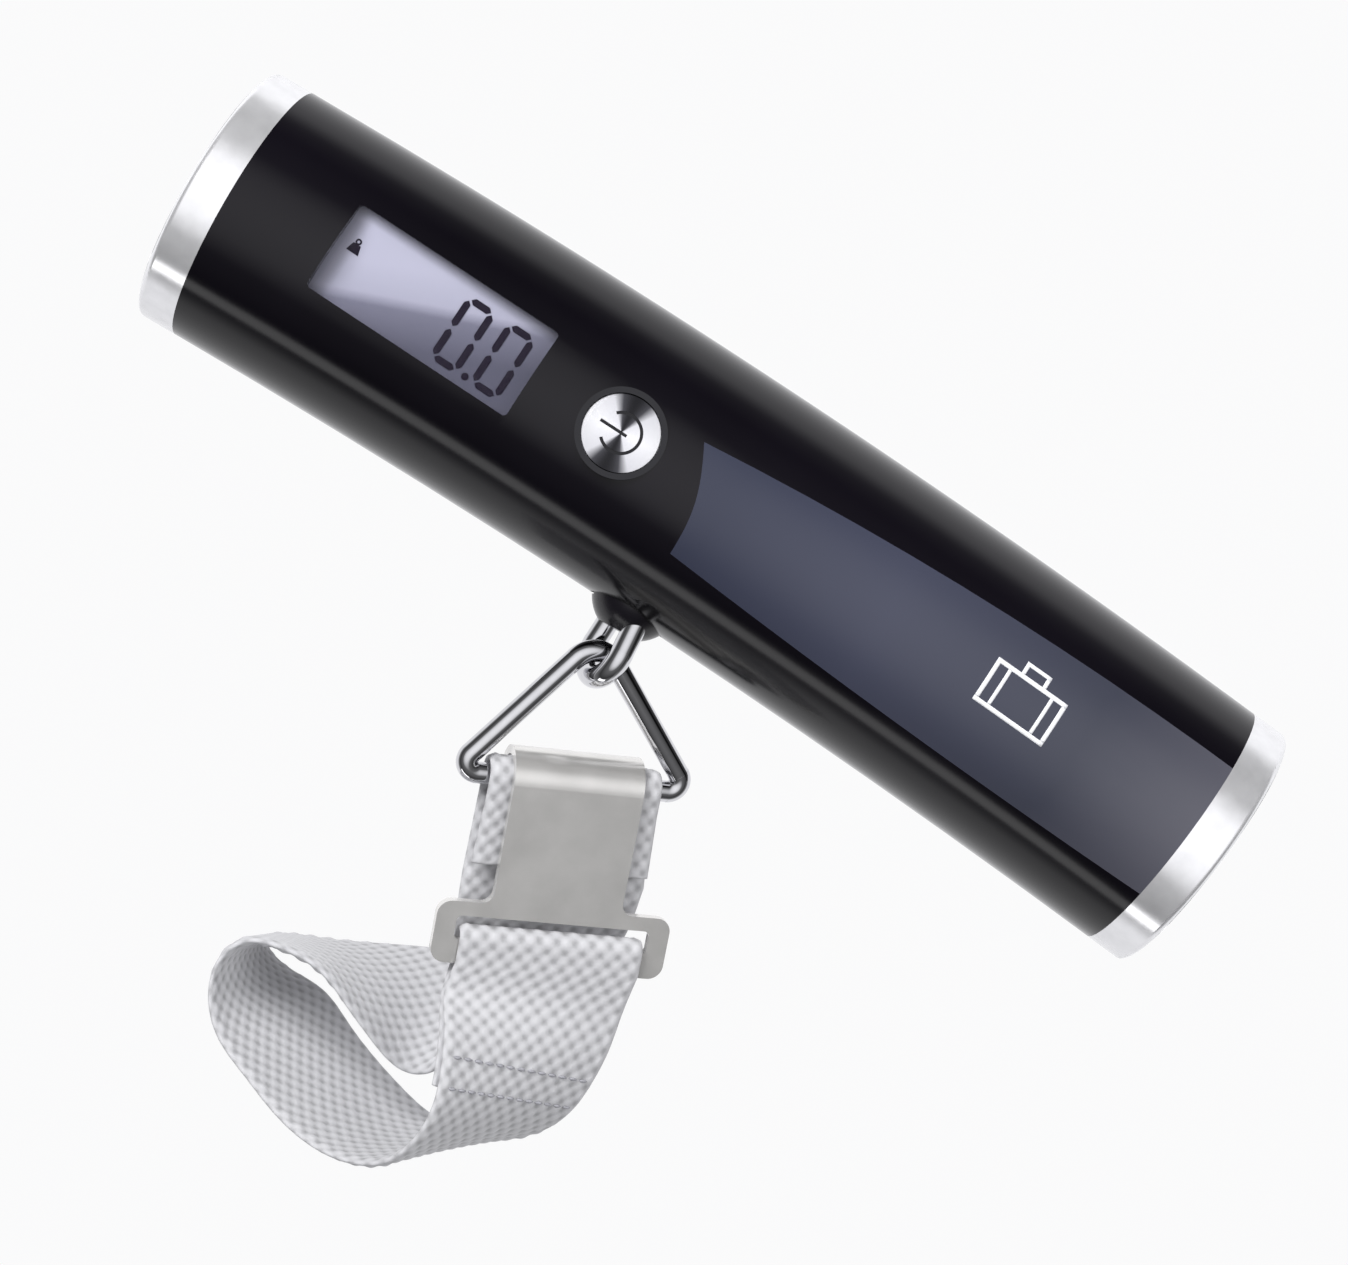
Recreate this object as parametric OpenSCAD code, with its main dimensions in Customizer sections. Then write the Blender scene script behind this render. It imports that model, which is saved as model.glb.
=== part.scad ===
// Digital luggage scale: an arched tube handle with a display and a power button,
// a load cell inside, and a ball swivel that hangs a link, a triangular ring,
// a hook buckle and a webbing loop.
// +X runs along the handle away from the display, -Y is the display side,
// +Z points away from the strap, and the origin is the middle of the handle.

/* [Handle] */
// Diameter of the tube
body_d = 37; // [36.5:0.1:38.5]
// Length of the tube between the end cap rims
body_l = 158.8; // [156:0.2:166]
// Wall thickness of the shells
wall = 1.8; // [1.6:0.1:2]
// Radius of the gentle arch that the handle follows
arch_r = 1400; // [1200:50:3000]
// Width of each bright end cap
cap_w = 5.5; // [4.5:0.5:7]
// Height of the domed end face
cap_dome = 0.8; // [0.5:0.1:1.5]

/* [Display] */
// Centre of the display along the handle
lcd_x = -44; // [-44.1:0.1:-43.7]
// Width of the display window
window_w = 30.6; // [28:0.1:31]
// Height of the display window
window_h = 12.8; // [11:0.1:12.8]
// Height of a digit
digit_h = 9.7; // [8:0.1:10]
// Width of a digit
digit_w = 4.4; // [3.5:0.1:4.8]
// Thickness of a digit's segments
seg_t = 0.95; // [0.6:0.05:1.2]

/* [Power button] */
// Centre of the button along the handle
button_x = -15.1; // [-15.5:0.1:-14.5]
// Diameter of the button cap
button_d = 10.2; // [9:0.1:10.4]
// Outside diameter of the button's bezel
bezel_d = 12; // [11.6:0.1:12.6]
// Travel of the button
button_travel = 0.5; // [0.3:0.1:0.6]

/* [Swivel and link] */
// Position of the swivel along the handle
swivel_x = -2.15; // [-3:0.05:0]
// Radius of the swivel's ball head
ball_r = 6.1; // [5.8:0.1:6.3]
// Diameter of the link's wire
link_wire_d = 3.2; // [2.8:0.1:3.3]
// Turn of the link about the swivel at rest
link_turn = -60; // [-62:1:-58]
// Lean of the link at rest
link_lean = 4; // [0:1:8]

/* [Ring] */
// Diameter of the ring's wire
ring_wire_d = 3; // [2.8:0.1:3]
// Distance from the ring's pivot to its straight bar
ring_drop = 15; // [14.5:0.1:18]
// Half of the angle between the ring's legs
ring_half_angle = 39; // [38:0.5:41]

/* [Buckle] */
// Thickness of the buckle's plate
plate_t = 1.2; // [1:0.1:1.2]
// Width of the buckle's stem
stem_w = 18; // [16:0.5:18.5]
// Width across the buckle's wings
wing_w = 32.6; // [31:0.1:34]
// Width of the webbing slot
slot_w = 27; // [26.5:0.1:28]

/* [Webbing] */
// Width of the webbing
web_w = 25; // [23:0.5:25]
// Thickness of the webbing
web_t = 1.2; // [1:0.1:1.2]

/* [Hidden] */
$fn = 96;
fine = 720;
deg = 180 / PI;
wire_bite = 0.15;
wire_step = 0.02;

body_r = body_d / 2;
inner_r = body_r - wall;
seam_s = body_l / 2 - cap_w;
spigot_l = 3.2;
spigot_r = inner_r - 0.05;

// depths of the layers behind the display, measured along Y
lens_y = -15.9;
lens_t = 0.8;
glass_y = -15;
glass_t = 1.8;
board_y = -9.2;
board_t = 1.2;
board_back = board_y + board_t;
glass_size = [33, 14.8];
lens_size = [32.4, 14.4];
pocket_gap = 0.1;

cap_edge_y = -body_r + 0.15;
cap_crown = 0.6;
button_r = button_d / 2;
flange_y = -15.8;
plunger_y = -13.3;

ball_z = -15.6;
ball_top = 4.1;
ball_bottom = -5.3;
ball_gap = 0.25;
bush_r = 9;
pin_r = 1;
tongue_r = 2.4;
tongue_t = 3;
tongue_top = 6.4;
stem_r = 2;
link_r = link_wire_d / 2;
link_bend_r = 4;
link_drop = 12.25;
link_slant = 7;
link_leg_l = 5.05;

cell_x = [-8, 42];
cell_z = [-8, 2];
cell_half_w = 5;
cell_screw_x = [31, 38];
plate_x = [27, 62];
plate_z = [-10.5, -8];
plate_screw_x = [54, 60];
plate_screw_y = 3.5;

// screws that hold the two shells together: [x, z]
case_screws = [[-67.2, 0], [12, 9.5], [66.5, 0]];
case_shank_r = 1.2;
case_head_r = 2.1;
case_post_r = 2.6;
case_boss_r = 3;
case_head_y = 13;
board_posts = [[-62.8, 6.5], [-62.8, -6.5], [-24, 8.5], [-24, -8.5]];
board_post_r = 1.6;

battery_s = -36;
battery_r = 10;
battery_t = 3.2;
battery_y = 9.6;
door_half_l = 14;
door_half_h = 11.5;
door_gap = 0.25;
door_end_gap = 0.5;

// attitude of the ring and strap: seen from the display side they hang this far off the handle's square
hang_angle = 33.4;
tilt_axis_angle = 38;
tilt_angle = 23;
ring_lean = 8.5;
ring_r = ring_wire_d / 2;
ring_bend_r = link_r + ring_r + 0.4;
corner_r = 1.6;
corner_angle = 90 - ring_half_angle;
apex_rise = ring_bend_r / sin(ring_half_angle);
corner_p = (ring_drop + apex_rise) * tan(ring_half_angle);
corner_tangent = corner_r / tan(corner_angle / 2);
corner_centre_p = corner_p - corner_tangent;
leg_l = (ring_drop + apex_rise) / cos(ring_half_angle) - corner_tangent
    - ring_bend_r / tan(ring_half_angle);

web_gap = 0.15;
wrap_r = ring_r + web_gap + web_t / 2;
wrap_w = 23.4;
hook_r = wrap_r + web_t / 2 + web_gap;
plate_n = -hook_r - plate_t;
wing_q = [-25.6, -16.8];
slot_q = [-22.2, -18.8];
wing_corner_r = 2;
neck_fillet_r = 1.6;
hook_tip = 2.2;

// the slot's lower bar, which the webbing's end folds over
bar_n = plate_n + plate_t / 2;
fold_r = plate_t / 2 + web_gap + web_t / 2;
tail_offset = web_t + 0.1;

// the loop's middle line and the direction across the webbing, from the buckle round to the ring
loop_route = [
    [[0, -4.95, -25], [-1, 0, 0]],
    [[-1, -5.2, -30], [-1, -0.05, 0.05]],
    [[-2, -8, -36], [-0.95, -0.25, 0.2]],
    [[-4, -10, -43], [-0.85, -0.45, 0.25]],
    [[-7, -8.5, -48.5], [-0.75, -0.6, 0.2]],
    [[-11.5, -4.5, -52.5], [-0.7, -0.7, 0.1]],
    [[-17, 1, -53.5], [-0.7, -0.7, 0.05]],
    [[-22.5, 6, -51], [-0.7, -0.7, 0]],
    [[-27.5, 11, -47], [-0.7, -0.7, 0]],
    [[-32, 15.5, -42.5], [-0.7, -0.7, 0]],
    [[-35.5, 19, -38.5], [-0.55, -0.8, 0.2]],
    [[-36, 20.5, -34.5], [-0.35, -0.9, 0.3]],
    [[-32.5, 19.5, -33.2], [-0.3, -0.9, 0.3]],
    [[-25, 17, -34], [-0.3, -0.95, 0.2]],
    [[-17.5, 14.5, -36.5], [-0.4, -0.9, -0.1]],
    [[-10, 12, -39], [-0.45, -0.8, -0.4]],
    [[-4, 9, -37.5], [-0.55, -0.75, -0.35]],
    [[-1, 5.5, -31.5], [-0.8, -0.55, -0.1]],
    [[0, 2.2, -24], [-0.97, -0.2, 0]],
    [[0, 0, -14], [-1, 0, 0]]
];
loop_steps = 4;
wrap_steps = 10;
fold_steps = 6;

// ---- helpers

// sweeps a profile along the arch; the profile's x is up and its y is towards the display side
module arched(s0, s1) {
    a0 = 90 - s1 / arch_r * deg;
    translate([0, 0, -arch_r])
        rotate([90, 0, 0])
            rotate([0, 0, a0])
                rotate_extrude(angle = (s1 - s0) / arch_r * deg, $fn = fine)
                    translate([arch_r, 0])
                        children();
}

// moves children to the arch at length s from the middle, with X along the handle
module at_arch(s) {
    t = s / arch_r * deg;
    translate([arch_r * sin(t), 0, arch_r * (cos(t) - 1)])
        rotate([0, t, 0])
            children();
}

// extrudes an outline drawn in X and Z from depth y0 to depth y1
module through_y(y0, y1) {
    translate([0, y1, 0])
        rotate([90, 0, 0])
            linear_extrude(y1 - y0)
                children();
}

module y_cylinder(x, z, r, y0, y1) {
    translate([x, y1, z])
        rotate([90, 0, 0])
            cylinder(r = r, h = y1 - y0);
}

module tube_profile(r_out, r_in) {
    difference() {
        circle(r_out);
        circle(r_in);
    }
}

module half_plane(side) {
    translate([-2 * body_r, side > 0 ? 0 : -4 * body_r])
        square(4 * body_r);
}

module rounded_rect(w, h, r) {
    union() {
        square([w - 2 * r, h], center = true);
        square([w, h - 2 * r], center = true);
        for (x = [-1, 1], y = [-1, 1])
            translate([x * (w / 2 - r), y * (h / 2 - r)])
                circle(r, $fn = 32);
    }
}

// an eight-sided rod between two points
module rod(a, b, r) {
    d = b - a;
    l = norm(d);
    translate(a)
        rotate([0, acos(d[2] / l), atan2(d[1], d[0])])
            cylinder(r = r, h = l, $fn = 8);
}

// a thin lead through a list of points; inner ends run past the bend a little so that they close it
module lead(points, r) {
    last = len(points) - 2;
    union()
        for (i = [0 : last])
            let (d = (points[i + 1] - points[i]) / norm(points[i + 1] - points[i]) * r / 2)
            rod(points[i] - (i > 0 ? d : [0, 0, 0]), points[i + 1] + (i < last ? d : [0, 0, 0]), r);
}

// a straight stretch of bent wire; it starts just inside the bend that it joins and is a hair thinner
module straight(l, r) {
    translate([0, 0, -wire_bite])
        cylinder(r = r - wire_step, h = l + 2 * wire_bite);
}

module box(x, y, z) {
    translate([x[0], y[0], z[0]])
        cube([x[1] - x[0], y[1] - y[0], z[1] - z[0]]);
}

// ---- handle

module half_shell(side) {
    arched(-seam_s, seam_s)
        intersection() {
            tube_profile(body_r, inner_r);
            half_plane(side);
        }
}

// fills the inside of the tube over a stretch, to trim posts and ledges
module inside(s0, s1) {
    arched(s0, s1)
        circle(inner_r + wall / 2);
}

// a post that runs from the joint plane to the wall
module case_post(p, side) {
    intersection() {
        if (side > 0)
            y_cylinder(p[0], p[1], case_post_r, -body_r, 0);
        else
            y_cylinder(p[0], p[1], case_boss_r, 0, body_r);
        inside(p[0] - 4, p[0] + 4);
    }
}

// the grip panel's outline, which widens away from the display and has a hollow left edge
function panel_top(x) = 9.5 - 4.5 * pow((74.5 - x) / 80, 2);
function panel_bottom(x) = -11.1 + 1.8 * pow((48 - x) / 49.4, 2);
function panel_left(t) = [-5.6 + 4.2 * t + 1.2 * sin(180 * t), 5 - 14.3 * t];

module panel_outline() {
    last = 85;
    steps = 12;
    polygon(concat(
        [for (i = [0 : steps]) let (x = last + (-5.6 - last) * i / steps) [x, panel_top(x) + panel_sag(x)]],
        [for (i = [1 : steps - 1]) let (p = panel_left(i / steps)) [p[0], p[1] + panel_sag(p[0])]],
        [for (i = [0 : steps]) let (x = -1.4 + (last + 1.4) * i / steps) [x, panel_bottom(x) + panel_sag(x)]]
    ));
}

// drop of the arch's middle line at x
function panel_sag(x) = -x * x / (2 * arch_r);

module grip_panel() {
    color("#4b4f60")
        intersection() {
            arched(-8, seam_s)
                intersection() {
                    tube_profile(body_r, body_r - 0.9);
                    half_plane(1);
                }
            through_y(-body_r - 1, 0)
                panel_outline();
        }
}

module front_shell() {
    color("#0c0b10")
        difference() {
            union() {
                half_shell(1);
                for (p = case_screws)
                    case_post(p, 1);
                for (p = board_posts)
                    intersection() {
                        y_cylinder(p[0], p[1], board_post_r, -body_r, board_y);
                        inside(p[0] - 3, p[0] + 3);
                    }
            }
            through_y(-body_r - 1, -inner_r + 5)
                translate([lcd_x, 0])
                    rounded_rect(window_w, window_h, 0.6);
            through_y(lens_y, -13)
                translate([lcd_x, 0])
                    square([glass_size[0] + 2 * pocket_gap, glass_size[1] + 2 * pocket_gap], center = true);
            y_cylinder(button_x, 0, bezel_d / 2, -body_r - 1, -13);
            for (p = case_screws)
                y_cylinder(p[0], p[1], case_shank_r, -10, 1);
            for (p = board_posts)
                y_cylinder(p[0], p[1], 0.8, board_y - 3.5, board_y + 1);
            translate([swivel_x, 0, ball_z])
                sphere(ball_r + ball_gap);
            grip_panel();
        }
}

module rear_shell() {
    color("#0c0b10")
        difference() {
            union() {
                half_shell(-1);
                for (p = case_screws)
                    case_post(p, -1);
                intersection() {
                    box([50, 63.5], [0.2, body_r], [-15, plate_z[0]]);
                    inside(48, 66);
                }
            }
            for (p = case_screws) {
                y_cylinder(p[0], p[1], case_shank_r, -1, body_r);
                y_cylinder(p[0], p[1], case_head_r + 0.25, case_head_y, body_r + 1);
            }
            for (x = plate_screw_x)
                translate([x, plate_screw_y, plate_z[0] - 4])
                    cylinder(r = 1.2, h = 5);
            at_arch(battery_s)
                box([-door_half_l - door_gap, door_half_l + door_end_gap],
                    [10, body_r + 1],
                    [-door_half_h - door_gap, door_half_h + door_gap]);
            translate([swivel_x, 0, ball_z])
                sphere(ball_r + ball_gap);
        }
}

// a cup with a domed face, a rounded rim and a spigot that plugs into the shells
module end_cap(side) {
    rim_r = 0.8;
    dome_r = (body_r * body_r + cap_dome * cap_dome) / (2 * cap_dome);
    color("#c9cad0")
        at_arch(side * seam_s)
            rotate([0, side * 90, 0])
                rotate_extrude($fn = 180)
                    difference() {
                        union() {
                            intersection() {
                                square([body_r, 2 * cap_w]);
                                translate([0, cap_w + cap_dome - dome_r])
                                    circle(dome_r, $fn = fine);
                                union() {
                                    square([body_r, cap_w - rim_r]);
                                    square([body_r - rim_r, 2 * cap_w]);
                                    translate([body_r - rim_r, cap_w - rim_r])
                                        circle(rim_r, $fn = 48);
                                }
                            }
                            translate([0, -spigot_l])
                                square([spigot_r, spigot_l + 1]);
                        }
                        translate([0, -spigot_l - 1])
                            square([spigot_r - 1.2, spigot_l + cap_w - 0.8]);
                    }
}

module display_end_cap() {
    end_cap(-1);
}

module grip_end_cap() {
    end_cap(1);
}

module case_screws() {
    color("#6c6e74")
        for (p = case_screws)
            difference() {
                union() {
                    y_cylinder(p[0], p[1], case_shank_r, -9, case_head_y);
                    y_cylinder(p[0], p[1], case_head_r, case_head_y, case_head_y + 1.6);
                }
                translate([p[0], case_head_y + 1.3, p[1]]) {
                    cube([2.8, 1.4, 0.6], center = true);
                    cube([0.6, 1.4, 2.8], center = true);
                }
            }
}

// ---- display

module display_plate(size, y0, t) {
    through_y(y0, y0 + t)
        translate([lcd_x, 0])
            square(size, center = true);
}

module display_window() {
    color("#d8dde8")
        display_plate(lens_size, lens_y, lens_t);
}

module lcd_glass() {
    color("#b4b5c6")
        display_plate(glass_size, glass_y, glass_t);
}

// one segment of a digit: a bar with pointed ends, from a to b
module segment(a, b) {
    d = (b - a) / norm(b - a);
    n = [-d[1], d[0]] * seg_t / 2;
    k = seg_t / 2;
    polygon([a, a + k * d + n, b - k * d + n, b, b - k * d - n, a + k * d - n]);
}

// the six lit segments of a nought
module nought() {
    w = (digit_w - seg_t) / 2;
    h = (digit_h - seg_t) / 2;
    gap = 0.22;
    segment([-w + gap, h], [w - gap, h]);
    segment([-w + gap, -h], [w - gap, -h]);
    for (x = [-w, w], z = [0, h])
        segment([x, z - h + gap], [x, z - gap]);
}

module lcd_segments() {
    digit_x = [4.7, 10.9];
    digit_z = -0.4;
    color("#0c0620")
        through_y(lens_y + lens_t, glass_y)
            translate([lcd_x, digit_z]) {
                for (x = digit_x)
                    translate([x, 0])
                        nought();
                translate([(digit_x[0] + digit_x[1]) / 2 + 0.1, -digit_h / 2 + 0.5])
                    circle(0.5, $fn = 32);
                translate([-13.1, 1.9])
                    weight_sign();
            }
}

// a small weight with a ring on top, the display's sign for a load
module weight_sign() {
    polygon([[-0.9, -0.9], [0.9, -0.9], [0.55, 0.35], [-0.55, 0.35]]);
    translate([0, 0.72])
        difference() {
            circle(0.42, $fn = 32);
            circle(0.2, $fn = 32);
        }
}

module backlight_plate() {
    color("#e6e8ee")
        through_y(glass_y + glass_t, -10.6)
            translate([lcd_x, 0.9])
                square([32.4, 12.4], center = true);
}

module lcd_contact_strip() {
    color("#d98a5c")
        through_y(glass_y + glass_t, board_y)
            translate([lcd_x, -6.4])
                square([30, 1.6], center = true);
}

module display_frame() {
    color("#e9e9e6")
        difference() {
            through_y(glass_y + glass_t, board_y)
                translate([lcd_x, 0])
                    square([34.2, 16.6], center = true);
            through_y(glass_y + glass_t - 1, board_y + 1)
                translate([lcd_x, 0])
                    square([32.6, 14.4], center = true);
        }
}

module circuit_board() {
    color("#1f6b3f")
        difference() {
            box([-64.1, -7.6], [board_y, board_back], [-10.5, 10.5]);
            for (p = board_posts)
                y_cylinder(p[0], p[1], 0.8, board_y - 1, board_back + 1);
        }
}

module board_screws() {
    color("#9a9ca2")
        for (p = board_posts)
            difference() {
                union() {
                    y_cylinder(p[0], p[1], 0.8, board_y - 3, board_back);
                    y_cylinder(p[0], p[1], 1.5, board_back, board_back + 1);
                }
                translate([p[0], board_back + 1, p[1]])
                    cube([2, 0.8, 0.4], center = true);
            }
}

module controller_chip() {
    color("#101012")
        translate([-44, board_back, 1])
            rotate([-90, 0, 0])
                intersection() {
                    cylinder(r = 5.5, h = 2);
                    translate([0, 0, 1.5 - 11])
                        sphere(11);
                }
}

module board_components() {
    color("#3c3d42") {
        for (i = [0 : 3])
            box([-58 + i * 2.4, -56.6 + i * 2.4], [board_back, board_back + 0.6], [-7.6, -5.2]);
        for (i = [0 : 2])
            box([-33 + i * 3, -31.2 + i * 3], [board_back, board_back + 0.8], [4.2, 5.4]);
        y_cylinder(-18, -6.5, 2.4, board_back, board_back + 4.5);
        box([-20, -16], [board_back, board_back + 1.4], [2, 6]);
        y_cylinder(-32.5, -7, 1.4, board_back, board_back + 3);
    }
}

// ---- power button

module button_bezel() {
    color("#17161a")
        translate([button_x, -13.5, 0])
            rotate([90, 0, 0])
                rotate_extrude()
                    difference() {
                        translate([button_r + 0.12, 0])
                            square([bezel_d / 2 - button_r - 0.12, body_r - 13.5 + 0.1]);
                        translate([0, -1])
                            square([bezel_d / 2 - 0.4, 3.4]);
                    }
}

// the mark's ring is open towards the display and its bar runs through the opening
module mark_outline() {
    ring_r = 2.64;
    line = 0.42;
    open_angle = 44;
    difference() {
        circle(ring_r + line / 2);
        circle(ring_r - line / 2);
        polygon([[0, 0], 8 * [-cos(open_angle), sin(open_angle)], 8 * [-cos(open_angle), -sin(open_angle)]]);
    }
    translate([-3.15, -line / 2])
        square([3.98, line]);
}

module button_cap() {
    dome_r = (button_r * button_r + cap_crown * cap_crown) / (2 * cap_crown);
    color("#d5d6da")
        difference() {
            translate([button_x, flange_y + 1, 0])
                rotate([90, 0, 0])
                    union() {
                        cylinder(r = bezel_d / 2 - 0.5, h = 1);
                        intersection() {
                            cylinder(r = button_r, h = 8);
                            translate([0, 0, flange_y + 1 - cap_edge_y + cap_crown - dome_r])
                                sphere(dome_r, $fn = 400);
                        }
                        translate([0, 0, flange_y + 1 - plunger_y])
                            cylinder(r = 1.5, h = plunger_y - flange_y);
                    }
            through_y(-body_r - 2, -18.6)
                translate([button_x, 0])
                    mark_outline();
        }
}

module power_mark() {
    color("#141318")
        through_y(-18.72, -18.6)
            translate([button_x, 0])
                mark_outline();
}

module switch_plunger() {
    color("#26262a")
        y_cylinder(button_x, 0, 1.7, plunger_y, plunger_y + 1.2);
}

module switch_body() {
    color("#3a3b40")
        difference() {
            box([button_x - 3, button_x + 3], [-12.5, board_y], [-3, 3]);
            y_cylinder(button_x, 0, 1.85, -13, plunger_y + 1.9);
        }
}

// ---- load cell

module load_cell() {
    color("#b9bcc2")
        difference() {
            box(cell_x, [-cell_half_w, cell_half_w], cell_z);
            for (x = [12, 22])
                y_cylinder(x, -3, 3, -cell_half_w - 1, cell_half_w + 1);
            box([12, 22], [-cell_half_w - 1, cell_half_w + 1], [-3.8, -2.2]);
            translate([swivel_x, 0, cell_z[0] - 1])
                cylinder(r = stem_r + 0.06, h = 12);
            for (x = cell_screw_x)
                translate([x, 0, cell_z[0] - 1])
                    cylinder(r = 1.5, h = 8);
        }
}

module strain_gauges() {
    color("#c98a4a")
        for (x = [12, 22], z = [cell_z[0] - 0.2, cell_z[1]])
            translate([x, 0, z + 0.1])
                cube([5, 4, 0.2], center = true);
}

module load_plate() {
    color("#8d9096")
        difference() {
            box(plate_x, [-7, 7], plate_z);
            for (x = cell_screw_x)
                translate([x, 0, plate_z[0] - 1])
                    cylinder(r = 1.5, h = 5);
            for (x = plate_screw_x)
                translate([x, plate_screw_y, plate_z[0] - 1])
                    cylinder(r = 1.2, h = 5);
        }
}

module load_screws() {
    color("#7b7d84") {
        for (x = cell_screw_x)
            translate([x, 0, plate_z[0] - 2])
                union() {
                    cylinder(r = 2.7, h = 2);
                    cylinder(r = 1.5, h = 8);
                }
        for (x = plate_screw_x)
            translate([x, plate_screw_y, plate_z[0] - 3.5])
                union() {
                    cylinder(r = 1.2, h = 7);
                    translate([0, 0, 6])
                        cylinder(r = 2.4, h = 1.6);
                }
    }
}

module gauge_leads() {
    lead_r = 0.4;
    color("#b03030")
        for (i = [0 : 3])
            lead([
                [15, i - 1.5, cell_z[1]],
                [15, i - 1.5, 3.5],
                [2, board_back + 0.7 + 0.9 * i, 4.5],
                [-9 - 1.2 * i, board_back + 0.7 + 0.9 * i, 4.5],
                [-9 - 1.2 * i, board_back, 4.5]
            ], lead_r);
}

// ---- swivel

module swivel_bush() {
    color("#2a2a2e")
        difference() {
            intersection() {
                translate([swivel_x, 0, -body_r])
                    cylinder(r = bush_r, h = body_r - 13);
                translate([-20, 0, 0])
                    rotate([0, 90, 0])
                        cylinder(r = inner_r - 0.1, h = 40);
            }
            translate([swivel_x, 0, ball_z])
                sphere(ball_r + ball_gap);
            translate([swivel_x, 0, ball_z])
                cylinder(r = ball_r + ball_gap - 0.3, h = 5);
        }
}

module thrust_washer() {
    color("#c9b26a")
        translate([swivel_x, 0, cell_z[1]])
            difference() {
                cylinder(r = 4.2, h = 0.5);
                translate([0, 0, -1])
                    cylinder(r = stem_r + 0.15, h = 3);
            }
}

module swivel_stem() {
    color("#a9acb3")
        difference() {
            union() {
                translate([swivel_x - tongue_r, -tongue_t / 2, ball_z])
                    cube([2 * tongue_r, tongue_t, tongue_top]);
                y_cylinder(swivel_x, ball_z, tongue_r, -tongue_t / 2, tongue_t / 2);
                translate([swivel_x, 0, ball_z + tongue_top - 0.2])
                    cylinder(r = stem_r, h = 15);
            }
            y_cylinder(swivel_x, ball_z, pin_r + 0.05, -5, 5);
        }
}

module stem_nut() {
    color("#c4c6cc")
        translate([swivel_x, 0, cell_z[1] + 0.55])
            difference() {
                cylinder(r = 4, h = 2.6, $fn = 6);
                translate([0, 0, -1])
                    cylinder(r = stem_r, h = 5);
            }
}

// moves children into the leaning head's own frame, whose origin is the ball's centre
module in_head() {
    translate([swivel_x, 0, ball_z])
        rotate([0, -link_lean, 0])
            children();
}

module link_leg(side) {
    translate([side * link_bend_r * cos(link_slant), 0, link_bend_r * sin(link_slant)])
        rotate([0, -side * link_slant, 0])
            straight(link_leg_l, link_r);
}

module link_body() {
    in_head()
        rotate([0, 0, link_turn])
            translate([0, 0, link_bend_r - link_drop]) {
                rotate([90, 0, 0])
                    rotate([0, 0, 180 - link_slant])
                        rotate_extrude(angle = 180 + 2 * link_slant)
                            translate([link_bend_r, 0])
                                circle(link_r, $fn = 48);
                for (side = [-1, 1])
                    link_leg(side);
            }
}

module link() {
    color("#d3d4d8")
        union()
            link_body();
}

module ball_head() {
    color("#1a191d")
        difference() {
            in_head()
                difference() {
                    sphere(ball_r);
                    translate([-10, -10, ball_top])
                        cube([20, 20, 10]);
                    translate([-10, -10, ball_bottom - 10])
                        cube([20, 20, 10]);
                    translate([-8, -tongue_t / 2 - 0.15, -tongue_r - 0.3])
                        cube([16, tongue_t + 0.3, 12]);
                    translate([0, 4.9, 0])
                        rotate([90, 0, 0])
                            cylinder(r = pin_r, h = 9.8);
                }
            link_body();
        }
}

module swivel_pin() {
    color("#b4b6bc")
        in_head()
            translate([0, 4.9, 0])
                rotate([90, 0, 0])
                    cylinder(r = pin_r, h = 9.8);
}

// ---- ring

// the ring turns about the middle of the link's lowest wire
pivot = [swivel_x + link_drop * sin(link_lean), 0, ball_z - link_drop * cos(link_lean)];

// moves children into the ring's plane: X along the bar, Y away from the display side, Z up the middle
module in_ring() {
    translate(pivot)
        rotate([0, -hang_angle, 0])
            rotate(a = tilt_angle, v = [cos(tilt_axis_angle), 0, sin(tilt_axis_angle)])
                rotate([0, ring_lean, 0])
                    children();
}

// moves children into the strap's frame, whose origin is the middle of the ring's bar
module in_strap() {
    in_ring()
        translate([0, 0, -ring_drop])
            children();
}

module ring_arc(centre, r, from, sweep) {
    translate(centre)
        rotate([90, 0, 0])
            rotate([0, 0, from])
                rotate_extrude(angle = sweep)
                    translate([r, 0])
                        circle(ring_r, $fn = 48);
}

module triangle_ring() {
    color("#cfd0d5")
        in_ring()
            union() {
                ring_arc([0, 0, 0], ring_bend_r, ring_half_angle, 180 - 2 * ring_half_angle);
                for (side = [-1, 1]) {
                    translate([side * ring_bend_r * cos(ring_half_angle), 0, ring_bend_r * sin(ring_half_angle)])
                        rotate([0, side * (180 - ring_half_angle), 0])
                            straight(leg_l, ring_r);
                    ring_arc([side * corner_centre_p, 0, corner_r - ring_drop], corner_r,
                        side > 0 ? -90 : 180 - ring_half_angle, 90 + ring_half_angle);
                }
                translate([-corner_centre_p, 0, -ring_drop])
                    rotate([0, 90, 0])
                        straight(2 * corner_centre_p, ring_r);
            }
}

// ---- buckle

module buckle_outline() {
    wing_h = wing_q[1] - wing_q[0];
    slot_h = slot_q[1] - slot_q[0];
    difference() {
        union() {
            translate([-stem_w / 2, wing_q[1] - 1])
                square([stem_w, -wing_q[1] + 1]);
            translate([0, (wing_q[0] + wing_q[1]) / 2])
                rounded_rect(wing_w, wing_h, wing_corner_r);
            for (side = [-1, 1])
                difference() {
                    translate([side * (stem_w + neck_fillet_r) / 2, wing_q[1] + neck_fillet_r / 2])
                        square(neck_fillet_r, center = true);
                    translate([side * (stem_w / 2 + neck_fillet_r), wing_q[1] + neck_fillet_r])
                        circle(neck_fillet_r);
                }
        }
        translate([0, (slot_q[0] + slot_q[1]) / 2])
            rounded_rect(slot_w, slot_h, 0.8);
    }
}

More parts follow.
